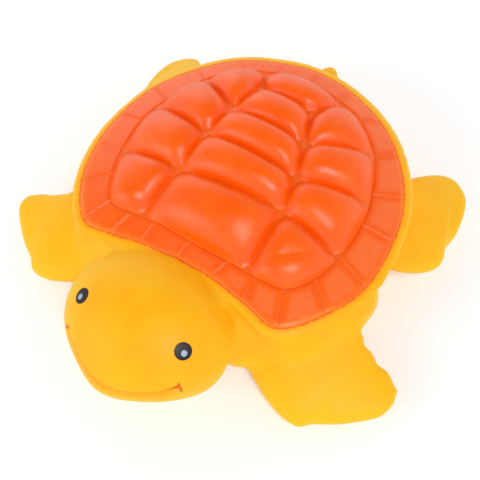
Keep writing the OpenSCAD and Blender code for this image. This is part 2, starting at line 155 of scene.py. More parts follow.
def wall_point(turn, share, out):
    """Plan of the body's wall at one turn, in mm."""
    rim = outline(edge_shares, turn)
    angle = np.arctan2(rim[:, 0] / rim_half_width, -rim[:, 1] / rim_half_length)
    belly = np.stack([belly_half_width * np.sin(angle), -belly_half_length * np.cos(angle)], 1)
    if out > 0:
        out = out * (1 + rear_lip_share * np.maximum(0, -np.cos(angle)))
    return belly * (1 - share) + rim * share + moved_out(edge_shares, turn, out) - rim


def wall_ring(height, share, out):
    return lambda turns: np.column_stack([wall_point(turns, share, out), np.full(len(turns), height)])


def socket_ring(radius, height):
    def place(turns):
        angle = turns / tile_count * math.tau
        return np.column_stack([radius * np.sin(angle), squeaker_y - radius * np.cos(angle),
                                np.full(len(turns), height)])
    return place


def ringed_solid(bm, rings, points=wall_points):
    """Closed solid drawn up from a capped circle, ring by ring, each placed by its points' turns."""
    turn_layer = bm.verts.layers.float.new("turn")
    ring = bmesh.ops.create_circle(bm, cap_ends=True, segments=points, radius=1)["verts"]
    for vert in ring:
        vert[turn_layer] = (math.atan2(vert.co.x, -vert.co.y) / math.tau * tile_count) % tile_count
    edges = list({e for v in ring for e in v.link_edges})
    for number, place in enumerate(rings):
        if number:
            made = bmesh.ops.extrude_edge_only(bm, edges=edges)["geom"]
            edges = [g for g in made if isinstance(g, bmesh.types.BMEdge)]
            ring = [g for g in made if isinstance(g, bmesh.types.BMVert)]
        for vert, co in zip(ring, place(np.array([v[turn_layer] for v in ring]))):
            vert.co = Vector(co) * mm
    bmesh.ops.holes_fill(bm, edges=edges, sides=0)


def shaped_ball(bm, place, around=56, levels=44):
    """Closed ball whose points place() moves by their angle to its pole and turn round its axis."""
    verts = bmesh.ops.create_uvsphere(bm, u_segments=around, v_segments=levels, radius=1)["verts"]
    polar = np.arccos(np.clip([v.co.z for v in verts], -1, 1))
    turn = np.arctan2([v.co.y for v in verts], [v.co.x for v in verts])
    for vert, co in zip(verts, place(polar, turn)):
        vert.co = Vector(co) * mm


skin_bm = bmesh.new()
ringed_solid(skin_bm, [wall_ring(*row) for row in outer_rows])

# Head: an egg that droops towards the nose, with a narrow snout, full jowls and a narrower neck.
# The powers say how late the droop and the snout's narrowing set in.
rim_front = -32.8
nose_reach = 30.7
head_half_width = 19.3
head_middle_height = 15
head_crown = 11.5
head_chin = 10
widest_share = 0.4
neck_share = 0.62
droop_share = 0.18
neck_taper = 0.5
snout_taper = 0.34
jowl = 0.07
droop_power = 1.5
snout_power = 4.4


def head_point(polar, turn, wall=0):
    ahead = np.cos(polar)
    size = np.sin(polar)
    front = ahead > 0
    reach = widest_share + np.where(front, 1 - widest_share, neck_share) * ahead
    droop = droop_share * np.maximum(ahead, 0) ** droop_power
    size = size * np.where(front, 1, 1 - neck_taper * ahead ** 2)
    up = np.sin(turn) > 0
    size = size * np.where(up, 1, 1 + jowl * np.sin(2 * turn) ** 2)
    tall = np.where(up, (head_crown - wall) * (1 - droop), (head_chin - wall) * (1 + droop))
    half = (head_half_width - wall) * (1 - snout_taper * np.maximum(ahead, 0) ** snout_power)
    return np.column_stack([half * size * np.cos(turn),
                            rim_front - (nose_reach - wall) * reach,
                            head_middle_height + tall * size * np.sin(turn)])


shaped_ball(skin_bm, head_point, 72, 60)


# Full places between limbs and body, as eggs with their middles and half sizes: the sides of the
# neck, the front corners, and the shoulders. The right shoulder is flatter than the left one.
mounds = [((18.1, -37.6, 7.3), (5.7, 4.9, 5.4)), ((15.5, -33.5, 11.5), (6.5, 5.2, 7)),
          ((25, -28, 9.5), (9, 8, 8.3))]
shoulder_middles = {1: (33, -16.2, 11), -1: (31.6, -16.2, 11)}
shoulder_radii = (8.2, 8.3, 7.8)


def mound(middle, radii, side):
    def place(polar, turn):
        size = np.sin(polar)
        ball = np.column_stack([size * np.cos(turn), size * np.sin(turn), np.cos(polar)])
        return (ball * radii + middle) * (side, 1, 1)
    return place


# A flipper is laid out along its front edge and its rear edge, both from root to tip as x, y and
# height, and by its thickness. The front flipper's rear edge has a notch at every second row
# between its lobed ones. Past their roots the edges are shifted in plan, each side by its own.
front_lead = [(13, -29, 9.5), (17, -35.5, 7), (21, -39.7, 4.9), (26, -42.8, 3.9), (31.5, -45.2, 3.3),
              (35.5, -46, 3), (38.3, -45.5, 2.8), (39.7, -43.9, 2.8), (42, -42.5, 2.8),
              (45.2, -40.6, 2.9), (49.2, -37.4, 3), (52.3, -34.4, 3.2), (53.5, -31.7, 3.5)]
front_trail = [(30, -14, 12), (35, -18.5, 11), (38.7, -20.9, 9.6), (40.4, -22.3, 8.7),
               (42.2, -23.7, 7.8), (44.3, -24.7, 6.9), (46.6, -25.4, 6.1), (49.2, -26.3, 5.4),
               (51.6, -27.2, 4.7), (53.1, -28.5, 4.1), (53.8, -30, 3.7)]
front_thick = [9, 9, 8.2, 7.4, 6.8, 6.3, 5.9, 5.5, 5.1, 4.6, 3.6]
lobe_depth = {1: 1.1, -1: 0.4}
lobe_out = (0.35, 0.94)
lobe_rows = (2, 9)
front_shift = {1: [(0, 0), (0, 0)], -1: [(-0.6, -0.9), (-0.8, -2.3)]}
rear_shift = {1: [(0, 0), (0, 1.2)], -1: [(-1.6, 3), (-1.6, 3.2)]}
rear_lead = [(33, 0, 10), (37.5, -3.3, 9.5), (41, -2.4, 8.8), (44, -0.7, 8.1), (46.5, 1.3, 7.4),
             (48.6, 4, 6.9), (49.3, 7.2, 6.6), (48.4, 9.8, 6.5), (49.2, 15, 6.5), (49.1, 19.4, 6.6),
             (48.7, 22.6, 6.8)]
rear_trail = [(26, 13, 13), (30, 16.5, 14.5), (32.2, 19, 13.8), (34.4, 21.7, 12.8), (36.4, 24.5, 11.6),
              (38.4, 27, 10.3), (40.6, 28.7, 9.2), (43, 29.1, 8.3), (45.4, 28, 7.6), (47.2, 26.2, 7.1),
              (48.2, 24.4, 6.9)]
rear_thick = [9, 8, 7.2, 6.6, 6.1, 5.6, 5.2, 4.9, 4.7, 4.4, 3.6]
root_share = 0.35
edge_fullness = 0.62
rear_thinning = 0.24


def flipper_point(lead, trail, thick, lobes, side, shift):
    """Places a ball's points as a flipper with a full, rounded front edge and a thinner rear one."""
    def place(polar, turn):
        share = polar / math.pi
        front = smooth_rows(lead, share * (len(lead) - 1))
        rear = smooth_rows(trail, share * (len(trail) - 1))
        row = share * (len(trail) - 1)
        lobed = (row > lobe_rows[0]) & (row < lobe_rows[1])
        wave = np.abs(np.sin((row - lobe_rows[0]) * math.pi / 2)) ** 0.8
        rear[:, :2] += (lobes * np.where(lobed, wave, 0))[:, None] * lobe_out
        out = np.clip(share / root_share, 0, 1)
        front[:, :2] += out[:, None] * shift[side][0]
        rear[:, :2] += out[:, None] * shift[side][1]
        deep = smooth_rows(np.array(thick)[:, None], share * (len(thick) - 1))[:, 0]
        ends = np.clip(np.sin(polar) * 4, 0, 1) ** 0.5
        back = (1 - np.cos(turn) * ends) / 2
        high = np.sign(np.sin(turn)) * np.abs(np.sin(turn)) ** edge_fullness
        high = high * ends * (1 - rear_thinning * back)
        co = front + (rear - front) * back[:, None]
        co[:, 2] += deep / 2 * high
        return co * (side, 1, 1)
    return place


for side in (1, -1):
    for middle, radii in mounds + [(shoulder_middles[side], shoulder_radii)]:
        shaped_ball(skin_bm, mound(middle, radii, side), 32, 24)
    shaped_ball(skin_bm, flipper_point(front_lead, front_trail, front_thick, lobe_depth[side], side,
                                       front_shift), 80, 120)
    shaped_ball(skin_bm, flipper_point(rear_lead, rear_trail, rear_thick, 0, side, rear_shift), 72, 64)

# Tail: a short flattened cone that turns up to its blunt tip
tail_root_y = 27
tail_tip_y = 41.45
tail_root_height = 13.6
tail_rise = 3.9
tail_half_width = 4.4
tail_half_height = 3.3
tail_taper = 0.25


def tail_point(polar, turn):
    back = (1 - np.cos(polar)) / 2
    size = np.sin(polar) ** 0.7 * (1 - tail_taper * back)
    height = tail_root_height + tail_rise * back
    return np.column_stack([tail_half_width * size * np.cos(turn),
                            tail_root_y + (tail_tip_y - tail_root_y) * back,
                            height + tail_half_height * size * np.sin(turn)])


shaped_ball(skin_bm, tail_point, 32, 24)
bmesh.ops.recalc_face_normals(skin_bm, faces=skin_bm.faces)
cast_grain = 0.55
skin = work_in(from_bmesh("skin", skin_bm))
remesh = skin.modifiers.new("cast", "REMESH")
remesh.mode = "VOXEL"
remesh.voxel_size = cast_grain * mm
remesh.use_smooth_shade = True
skin = work_in(skin)


def near_line(points, line):
    """Distance of points from a line through places, in mm, and how far along it they are nearest."""
    best = np.full(len(points), 1e9)
    along = np.zeros(len(points))
    for number, (start, end) in enumerate(zip(line, line[1:])):
        start, run = np.array(start, float), np.subtract(end, start)
        share = np.clip(((points - start) @ run) / (run @ run), 0, 1)
        gap = np.linalg.norm(points - start - share[:, None] * run, axis=1)
        along = np.where(gap < best, number + share, along)
        best = np.minimum(gap, best)
    return best, along


def relax(bm, chosen, passes):
    """Rounds the chosen points off, as vinyl flows in its mould."""
    verts = [v for v, use in zip(bm.verts, chosen) if use]
    for _ in range(passes):
        bmesh.ops.smooth_vert(bm, verts=verts, factor=0.5, use_axis_x=True, use_axis_y=True,
                              use_axis_z=True)


def finer(bm, chosen, cuts):
    """Divides the faces whose points are all chosen."""
    faces = [f for f in bm.faces if all(chosen[v.index] for v in f.verts)]
    edges = list({e for f in faces for e in f.edges})
    bmesh.ops.subdivide_edges(bm, edges=edges, cuts=cuts, use_grid_fill=True)
    bm.verts.index_update()
    bm.verts.ensure_lookup_table()


# Lines along the corners where limbs meet the body, on both sides alike. A root has its reach, and a
# rounding has its line, reach, greatest height and how often it is gone over.
roots = [([(16.5, -35, 8), (35.5, -20.5, 11)], 4), ([(37, -3, 10), (31, 18, 15)], 3),
         ([(0, 33, 14), (4, 32.4, 15)], 2.5), ([(12, -34.5, 6), (18.5, -36, 14)], 3.5)]
lip_underside = 18.6
body_half_length = 38
shoulder_line = [(22, -32, 7), (34, -15, 7)]
neck_line = [(0, -35.5, 18.5), (12, -36, 18.8), (19.5, -36.5, 16), (23, -36, 12.5)]
roundings = [(shoulder_line, 10, 16, 50), (shoulder_line, 8, 15, 50),
             (neck_line, 5.4, 20.4, 12), (neck_line, 4.2, 20.8, 22)]

skin_bm = bmesh.new()
skin_bm.from_mesh(skin.data)
relax(skin_bm, np.ones(len(skin_bm.verts), bool), 3)
co = places(skin_bm.verts)
as_left = np.column_stack([np.abs(co[:, 0]), co[:, 1], co[:, 2]])
past_root = np.minimum.reduce([near_line(as_left, line)[0] - reach for line, reach in roots])
below_lip = co[:, 2] < lip_underside
relax(skin_bm, (past_root < 0) & below_lip, 24)
relax(skin_bm, (past_root < 1.5) & below_lip, 10)
relax(skin_bm, below_lip | (np.abs(co[:, 1]) > body_half_length), 5)
for line, reach, greatest_height, passes in roundings:
    relax(skin_bm, (near_line(as_left, line)[0] < reach) & (co[:, 2] < greatest_height), passes)

# Mouth: the upper lip overhangs a set-back jaw, from corner to corner, and painted shade lies on the jaw
# under it.
# The red paint is deepest towards the corners and on their ticks; its fainter run along the middle is
# painted shade in the crease. The chin and the left cheek are fuller, each with its reach and swelling.
mouth_line = [(-12.4, -56.9, 18.9), (-11.1, -57.9, 18.8), (-9.5, -59, 18.6), (-6.9, -60.6, 18.4),
              (-4, -61.9, 18.1), (-1.1, -62.7, 17.8), (1.7, -62.8, 17.6), (4.7, -62, 17.3),
              (7.5, -60.8, 17.3), (10, -59.4, 17.35), (11.9, -58, 17.6), (13.4, -56.6, 17.9),
              (14.5, -55.1, 18.2)]
mouth_ticks = [[(14.4, -54.8, 18.9), (15.3, -55.3, 16.9)], [(-12.2, -56.7, 19.4), (-13, -57, 17.9)]]
mouth_fade = 1.5
crease_depth = 1
crease_width = 0.36
corner_depth_share = 0.35
jaw_setback = 0.8
jaw_reach = 2.2
jaw_shade_reach = 2.4
jaw_shade_edge = 0.15
lip_overhang = 0.15
lip_reach = 1.2
lip_edge = 0.12
red_half_width = 0.1
red_in_middle = 0.6
red_from, red_to = 6, 9
red_fade = 0.3
tick_width = 0.26
full_places = [((-1, -60.5, 8.5), 5, 1.2), ((17, -49, 9.5), 5.5, 1.1)]


def bell(distance, reach):
    """1 at no distance, falling off round it."""
    return np.exp(-(distance / reach) ** 2)


finer(skin_bm, near_line(places(skin_bm.verts), mouth_line)[0] < jaw_reach, 2)
relax(skin_bm, near_line(places(skin_bm.verts), mouth_line)[0] < jaw_shade_reach, 2)
co = places(skin_bm.verts)
gap, along = near_line(co, mouth_line)
above = co[:, 2] - smooth_rows(np.array(mouth_line)[:, 2:], along)[:, 0]
fade = np.clip(np.minimum(along, len(mouth_line) - 1 - along) / mouth_fade, 0, 1)
aside = np.clip((np.abs(co[:, 0]) - red_from) / (red_to - red_from), 0, 1)
# Red paint towards the corners and on the ticks; the fainter red along the middle is painted shade in
# the crease
red = (red_in_middle + (1 - red_in_middle) * aside) * bell(np.maximum(gap - red_half_width, 0), red_fade)
for tick in mouth_ticks:
    red = np.maximum(red, bell(near_line(co, tick)[0], tick_width))
red_layer = skin_bm.verts.layers.float.new("mouth_red")
# Mask of the painted shade on the jaw, under the upper lip
painted_jaw_shade_layer = skin_bm.verts.layers.float.new("painted_jaw_shade")
painted_jaw_shade = bell(gap, jaw_shade_reach) * fade / (1 + np.exp(above / jaw_shade_edge))
deep = corner_depth_share + (1 - corner_depth_share) * fade
outwards = -crease_depth * bell(gap, crease_width) * deep \
    - jaw_setback * bell(gap, jaw_reach) * fade / (1 + np.exp(above / lip_edge)) \
    + lip_overhang * bell(gap, lip_reach) * fade / (1 + np.exp(-above / lip_edge))
for middle, reach, proud in full_places:
    outwards += proud * bell(np.linalg.norm(co - middle, axis=1), reach)
skin_bm.verts.ensure_lookup_table()
skin_bm.normal_update()
normals = np.array([v.normal for v in skin_bm.verts])
for index in np.nonzero((gap < 9) | (np.abs(outwards) > 0.01))[0]:
    vert = skin_bm.verts[index]
    vert[red_layer] = float(red[index])
    vert[painted_jaw_shade_layer] = float(painted_jaw_shade[index])
    vert.co += Vector(normals[index]) * float(outwards[index]) * mm

# Flash line round the lip, on the part that stands so far outside the rim
flash_height = 20.25
flash_proud = 0.16
flash_width = 0.17
flash_reach = 0.6
lip_from, lip_to = 1.2, 3.2
rim_line = outline(edge_shares, np.linspace(0, tile_count, 881))


def past_rim(points, batch=4000):
    """How far outside the rim's line points lie in plan, in mm."""
    far = np.empty(len(points))
    for start in range(0, len(points), batch):
        part = points[start:start + batch]
        gaps = np.hypot(*(part[:, None, :2] - rim_line[None, :-1]).transpose(2, 0, 1))
        near = gaps.argmin(1)
        ahead = rim_line[near + 1] - rim_line[near]
        toward = part[:, :2] - rim_line[near]
        outside = toward[:, 0] * ahead[:, 1] - toward[:, 1] * ahead[:, 0]
        far[start:start + batch] = gaps.min(1) * np.where(outside > 0, 1, -1)
    return far


def on_lip(co, reach):
    chosen = np.abs(co[:, 2] - flash_height) < reach
    far = np.zeros(len(co))
    far[chosen] = past_rim(co[chosen])
    return chosen & (far > lip_from) & (far < lip_to)


finer(skin_bm, on_lip(places(skin_bm.verts), flash_reach + 0.02), 2)
lip = on_lip(places(skin_bm.verts), flash_reach)
relax(skin_bm, lip, 3)
co = places(skin_bm.verts)
skin_bm.normal_update()
for index in np.nonzero(lip)[0]:
    vert = skin_bm.verts[index]
    proud = flash_proud * math.exp(-((co[index, 2] - flash_height) / flash_width) ** 2)
    vert.co += Vector((vert.normal.x, vert.normal.y, 0)) * proud * mm
skin_bm.to_mesh(skin.data)
skin_bm.free()

# The hollow goes from the body into the head. The squeaker's socket stands in it on the belly, with
# a bore, a recess for the squeaker's flange and a bevelled mouth.
socket_foot = 2
recess_radius = 8.25
recess_depth = 1.1
bore_radius = 6.35
mouth_bevel = 0.3
head_wall = 2.4


def cut_out(piece, name, bm):
    """Takes a solid out of the piece."""
    bmesh.ops.recalc_face_normals(bm, faces=bm.faces)
    for face in bm.faces:
        face.smooth = True
    cutter = from_bmesh(name, bm)
    cut = piece.modifiers.new(name, "BOOLEAN")
    cut.operation = "DIFFERENCE"
    cut.solver = "MANIFOLD"
    cut.object = cutter
    work_in(piece)
    bpy.data.objects.remove(cutter)


hollow_bm = bmesh.new()
ringed_solid(hollow_bm, [wall_ring(*row) for row in hollow_rows]
             + [socket_ring(socket_radius, socket_foot), socket_ring(socket_radius, socket_height)])
cut_out(skin, "hollow", hollow_bm)
head_bm = bmesh.new()
shaped_ball(head_bm, lambda polar, turn: head_point(polar, turn, head_wall), 40, 30)
cut_out(skin, "head_hollow", head_bm)
bore_bm = bmesh.new()
bore_rows = [(recess_radius + mouth_bevel, -0.5), (recess_radius + mouth_bevel, -0.01),
             (recess_radius, mouth_bevel), (recess_radius, recess_depth), (bore_radius, recess_depth),
             (bore_radius, socket_height + 2)]
ringed_solid(bore_bm, [socket_ring(*row) for row in bore_rows], 96)
cut_out(skin, "squeaker_bore", bore_bm)
skin.data.set_sharp_from_angle(angle=math.radians(50))

# What the spray paint's edge follows: distance outside the rim, and far away below the lip
paint_foot = 18.5
co = places(skin.data.vertices)
top = co[:, 2] > paint_foot
past = np.full(len(co), 9.0)
past[top] = past_rim(co[top])
layer = skin.data.attributes.new("past_rim", "FLOAT", "POINT")
layer.data.foreach_set("value", past.astype(np.float32))


def linear(red, green, blue):
    """Colour as it shows on a screen, 0 to 255, made linear for a shader."""
    return tuple((c / 255 / 12.92) if c < 10.3 else ((c / 255 + 0.055) / 1.055) ** 2.4
                 for c in (red, green, blue)) + (1,)


def shader(name, roughness, specular):
    """New material, its nodes, its Principled shader, and where a point is on the toy in metres."""
    made = bpy.data.materials.new(name)
    made.use_nodes = True
    tree = made.node_tree
    bsdf = tree.nodes["Principled BSDF"]
    bsdf.inputs["Roughness"].default_value = roughness
    bsdf.inputs["Specular IOR Level"].default_value = specular
    return made, tree, bsdf, put(tree, "TexCoord", {}, "Object")


def put(tree, kind, inputs, out=0, **settings):
    """Adds a node and gives one of its outputs. Inputs are values or other nodes' outputs."""
    made = tree.nodes.new("ShaderNode" + kind)
    for name, value in settings.items():
        setattr(made, name, value)
    for name, value in inputs.items():
        if isinstance(value, bpy.types.NodeSocket):
            tree.links.new(value, made.inputs[name])
        else:
            made.inputs[name].default_value = value
    return made.outputs[out]


def use_group(tree, made, inputs, out=0):
    return put(tree, "Group", inputs, out, node_tree=made)


def math_of(tree, operation, a, b=0.0, c=0.0):
    return put(tree, "Math", {0: a, 1: b, 2: c}, operation=operation)


def times(tree, a, b):
    return math_of(tree, "MULTIPLY", a, b)


def ramp(tree, value, start, end, low=0.0, high=1.0):
    """Value moved smoothly from low at start to high at end."""
    return put(tree, "MapRange", {0: value, 1: start, 2: end, 3: low, 4: high},
               interpolation_type="SMOOTHSTEP")


def mixed(tree, share, a, b, kind="MIX"):
    return put(tree, "Mix", {0: share, 6: a, 7: b}, 2, data_type="RGBA", blend_type=kind)


def noise(tree, place, scale, detail=2.0, roughness=0.5):
    return put(tree, "TexNoise", {"Vector": place, "Scale": scale, "Detail": detail,
                                  "Roughness": roughness})


def attribute(tree, name):
    return put(tree, "Attribute", {}, "Fac", attribute_name=name)


def group(name, inputs, outputs):
    """Empty node group with named sockets, and its inner ends."""
    made = bpy.data.node_groups.new(name, "ShaderNodeTree")
    for end, sockets in (("INPUT", inputs), ("OUTPUT", outputs)):
        for label, kind in sockets.items():
            made.interface.new_socket(label, in_out=end, socket_type="NodeSocket" + kind)
    return made, made.nodes.new("NodeGroupInput").outputs, made.nodes.new("NodeGroupOutput").inputs


# Grain of the mould's sandblasted surface: fine pits over slow waves, and blotches in the colour
grain, given, result = group("mould_grain", {"Place": "Vector", "Fineness": "Float"},
                             {"Height": "Float", "Blotches": "Float"})
pits = noise(grain, given["Place"], given["Fineness"], 3, 0.6)
waves = noise(grain, given["Place"], times(grain, given["Fineness"], 0.09), 2)
blotches = noise(grain, given["Place"], times(grain, given["Fineness"], 0.03), 4, 0.55)
grain.links.new(math_of(grain, "MULTIPLY_ADD", waves, 1.4, pits), result["Height"])
grain.links.new(blotches, result["Blotches"])

# Specks of dust and paint mist: sparse dots of uneven size
dust, given, result = group("specks", {"Place": "Vector", "Spacing": "Float", "Size": "Float",
                                       "Share": "Float"}, {"Mask": "Float"})
cells = put(dust, "TexVoronoi", {"Vector": given["Place"], "Scale": given["Spacing"]}).node.outputs
chance = put(dust, "SeparateColor", {0: cells["Color"]}, "Red")
own_size = put(dust, "SeparateColor", {0: cells["Color"]}, "Green")
kept = math_of(dust, "LESS_THAN", chance, given["Share"])
size = times(dust, given["Size"], own_size)
inside = math_of(dust, "LESS_THAN", cells["Distance"], size)
dust.links.new(times(dust, kept, inside), result["Mask"])


def grain_on(tree, where, fineness):
    """Height and blotches of the mould's grain."""
    outputs = use_group(tree, grain, {"Place": where, "Fineness": fineness}).node.outputs
    return outputs["Height"], outputs["Blotches"]


def finished(tree, bsdf, colour, height, distance, strength, roughness=None):
    """Gives the shader its colour, its relief and, where it varies, its roughness."""
    relief = put(tree, "Bump", {"Height": height, "Distance": distance, "Strength": strength})
    tree.links.new(colour, bsdf.inputs["Base Color"])
    tree.links.new(relief, bsdf.inputs["Normal"])
    if roughness is not None:
        tree.links.new(roughness, bsdf.inputs["Roughness"])


# Yellow vinyl with dust, the spray mask's leaking edge and the red at the mouth, and painted light: a
# sheen at the outline, a floor reflection low down, and shade below the shell's edge, in the mouth's
# crease and under the lip
vinyl, tree, bsdf, where = shader("yellow_vinyl", 0.46, 0.24)
pits, blotches = grain_on(tree, where, 5200.0)
blotch = ramp(tree, blotches, 0.35, 0.65)
colour = mixed(tree, blotch, linear(255, 177, 3), linear(255, 184, 10))
# Painted sheen: the vinyl turns paler towards the outline, where the white surround would reflect at
# grazing angles
painted_sheen_facing = put(tree, "LayerWeight", {"Blend": 0.5}, "Facing")
colour = mixed(tree, ramp(tree, painted_sheen_facing, 0.25, 0.85, 0, 0.75), colour, linear(255, 205, 48))
# Painted reflection: the low parts turn yellower, as if lit from below by the white floor
height = put(tree, "SeparateXYZ", {0: where}, "Z")
colour = mixed(tree, ramp(tree, height, 0.013, 0.006, 0, 0.6), colour, linear(255, 200, 22))
past_edge = attribute(tree, "past_rim")
fringe = noise(tree, where, 1900, 4, 0.65)
ragged = math_of(tree, "MULTIPLY_ADD", fringe, 1.5, math_of(tree, "ADD", past_edge, -0.75))
# Amber fringe past the paint's edge: partly thin overspray, partly painted shade below the shell's edge
colour = mixed(tree, ramp(tree, ragged, 1.2, 0.0), colour, linear(255, 160, 14))
colour = mixed(tree, ramp(tree, ragged, 0.22, 0.0), colour, linear(255, 98, 16))
at_edge = times(tree, ramp(tree, past_edge, 0.75, 0.25), ramp(tree, past_edge, -0.3, 0.05))
mist = times(tree, ramp(tree, noise(tree, where, 4200, 2), 0.66, 0.73), at_edge)
colour = mixed(tree, times(tree, mist, 0.3), colour, linear(200, 80, 10))
# Painted shade on the jaw, tucked under the upper lip
painted_shade_under_lip = times(tree, attribute(tree, "painted_jaw_shade"), 0.6)
colour = mixed(tree, painted_shade_under_lip, colour, linear(240, 146, 4))
worn = ramp(tree, noise(tree, where, 2600, 2), 0.2, 0.55, 0.55, 1)
# The red at the mouth: paint at the corners and ticks, painted crease shade along the middle
red = times(tree, attribute(tree, "mouth_red"), worn)
colour = mixed(tree, red, colour, linear(205, 50, 10))
spots = use_group(tree, dust, {"Place": where, "Spacing": 190.0, "Size": 0.028, "Share": 0.3})
colour = mixed(tree, times(tree, spots, 0.75), colour, linear(120, 80, 20))
finished(tree, bsdf, colour, pits, 0.00003, 0.35, ramp(tree, blotches, 0.3, 0.7, 0.42, 0.5))

skin.data.materials.clear()
skin.data.materials.append(vinyl)
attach(skin, "body")
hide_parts("belly_skin", "head", "tail", "flipper_front_left", "flipper_front_right",
            "flipper_rear_left", "flipper_rear_right")


# The shell: the top of the same moulding, spray-painted orange through a mask. Thirteen swelling
# scutes stand in a ring of twenty-two flat edge tiles. It gives under a thumb and springs back.

# The crease between scutes and edge tiles, and the corners of the spine's scutes, are shares of the
# rim's half sizes. Side grooves meet the crease at thirds of a tile, counted from the front.
crease_height = 22.8
crease_shares = [(-0.01, -0.845), (0.25, -0.845), (0.425, -0.85), (0.605, -0.825), (0.715, -0.665),
                 (0.77, -0.45), (0.785, -0.14), (0.745, 0.12), (0.63, 0.44), (0.42, 0.69),
                 (0.215, 0.79), (-0.025, 0.835), (-0.25, 0.79), (-0.435, 0.695), (-0.65, 0.44),
                 (-0.765, 0.105), (-0.8, -0.15), (-0.762, -0.44), (-0.7, -0.665), (-0.585, -0.865),
                 (-0.415, -0.865), (-0.26, -0.84)]
spine_shares = {1: [(0.37, -0.39), (0.335, -0.13), (0.25, 0.155), (0.16, 0.485)],
                -1: [(-0.32, -0.455), (-0.315, -0.115), (-0.285, 0.175), (-0.24, 0.51)]}
groove_thirds = [5, 15, 20, 24, 29]
rear_third = 33

# The dome's rise and the scutes' swelling, then how the swelling sets in at the groove, fills out and
# rounds off at corners. The rim is pressed in a little, and a fine bead stands in each groove.
rise = 5.9
dome_width_share = 0.81
dome_length_share = 0.84
dome_back_share = 0.03
scute_swell = 3.9
arch_foot = 0.08
arch_fullness = 1.35
arch_power = 0.6
corner_round = 1.9
rim_sink = 0.2
rim_sink_reach = 0.3
bead_height = 0.05
bead_width = 0.2
tile_swell = 0.38
tile_bevel = 0.42
tile_groove = 0.06
tile_power = 0.8
tile_bead_share = 0.6
crease_groove = 0.3
crease_bevel = 0.6
rim_bevel = 1.5
rim_power = 0.7

# Points along the grooves, and rings in from them: gaps in mm, then parts of the way to the middle
per_tile = 18
per_third = per_tile // 3
spine_steps = 18
cross_steps = 32
rib_steps = 20
short_steps = 16
ring_gaps = [0.1, 0.2, 0.34, 0.46, 0.6, 0.8, 1.1, 1.5, 2.0]
ring_parts = [0.14, 0.3, 0.46, 0.62, 0.78, 0.9]
far_from_rim = 20.0

shell_bm = bmesh.new()
groove_layer = shell_bm.verts.layers.float.new("groove")
rim_layer = shell_bm.verts.layers.float.new("to_rim")
tile_layer = shell_bm.verts.layers.float.new("tile")
known = {}


def rim_vert(kind, step):
    """Point of the crease or the rim, made once, at a step of a tile's eighteenth."""
    step %= tile_count * per_tile
    key = (kind, step)
    if key not in known:
        shares = crease_shares if kind == "crease" else edge_shares
        x, y = outline(shares, step / per_tile)[0]
        known[key] = shell_bm.verts.new((x * mm, y * mm, 0))
    return known[key]


def groove(name, start, end, count):
    """Points from one to another, with those between them made once."""
    if name not in known:
        known[name] = [shell_bm.verts.new(start.co.lerp(end.co, i / count)) for i in range(1, count)]
    return [start] + known[name] + [end]


def spine_vert(level, side):
    key = ("spine", level, side)
    if key not in known:
        x, y = spine_shares[side][level]
        known[key] = shell_bm.verts.new((x * rim_half_width * mm, y * rim_half_length * mm, 0))
    return known[key]


def crease_run(first, last):
    """Sides of a scute along the crease, from one third mark to another."""
    return [rim_vert("crease", s) for s in range(first * per_third, last * per_third + 1)]


def spine_run(level, side):
    """Groove between two spine corners, front to rear."""
    return groove(("spine run", level, side), spine_vert(level, side), spine_vert(level + 1, side),
                  spine_steps)


def cross_run(level):
    """Groove across the spine, right to left."""
    return groove(("cross", level), spine_vert(level, -1), spine_vert(level, 1), cross_steps)


def front_rib(side):
    """Groove between the first spine scute and the first side one."""
    return groove(("front rib", side), spine_vert(0, side),
                  rim_vert("crease", groove_thirds[0] * per_third * side), rib_steps)


def rib(level, side):
    """Groove from spine corner level to the crease, behind side scute level + 1."""
    return groove(("rib", level, side), spine_vert(level, side),
                  rim_vert("crease", groove_thirds[level + 1] * per_third * side),
                  short_steps if level == 3 else rib_steps)


def crease_side(first, last, side):
    return crease_run(first, last) if side > 0 else crease_run(-last, -first)[::-1]


# Sides of the five spine scutes from front to rear, then of the four on each side
scute_sides = [[crease_run(-groove_thirds[0], groove_thirds[0]), front_rib(1)[::-1],
                cross_run(0)[::-1], front_rib(-1)]]
for level in range(3):
    scute_sides.append([spine_run(level, 1), cross_run(level + 1)[::-1], spine_run(level, -1)[::-1],
                        cross_run(level)])
scute_sides.append([crease_run(groove_thirds[4], 2 * rear_third - groove_thirds[4]),
                    rib(3, -1)[::-1], cross_run(3), rib(3, 1)])
for side in (1, -1):
    scute_sides.append([crease_side(groove_thirds[0], groove_thirds[1], side), rib(0, side)[::-1],
                        front_rib(side)])
    for level in range(3):
        scute_sides.append([crease_side(groove_thirds[level + 1], groove_thirds[level + 2], side),
                            rib(level + 1, side)[::-1], spine_run(level, side)[::-1], rib(level, side)])


def separator(tile):
    """Groove between two edge tiles, outwards."""
    return groove(("separator", tile % tile_count), rim_vert("crease", tile * per_tile),
                  rim_vert("edge", tile * per_tile), short_steps)


tile_sides = []
for tile in range(tile_count):
    steps = range(tile * per_tile, (tile + 1) * per_tile + 1)
    inner, outer = ([rim_vert(kind, step) for step in steps] for kind in ("crease", "edge"))
    tile_sides.append([separator(tile), outer, separator(tile + 1)[::-1], inner[::-1]])


def away_from(points, side):
    """Distance in plan from each point to a side of a tile or scute, in mm."""
    line = np.array([v.co[:2] for v in side]) / mm
    a, b = line[:-1], line[1:]
    run = b - a
    share = ((points[:, None] - a) * run).sum(2) / (run * run).sum(1)
    nearest = a + np.clip(share, 0, 1)[:, :, None] * run
    return np.linalg.norm(points[:, None] - nearest, axis=2).min(1)


def dome_height(plan):
    x = plan[:, 0] / (dome_width_share * rim_half_width)
    y = (plan[:, 1] + dome_back_share * rim_half_length) / (dome_length_share * rim_half_length)
    return crease_height + rise * np.maximum(0, 1 - x ** 2 - y ** 2)


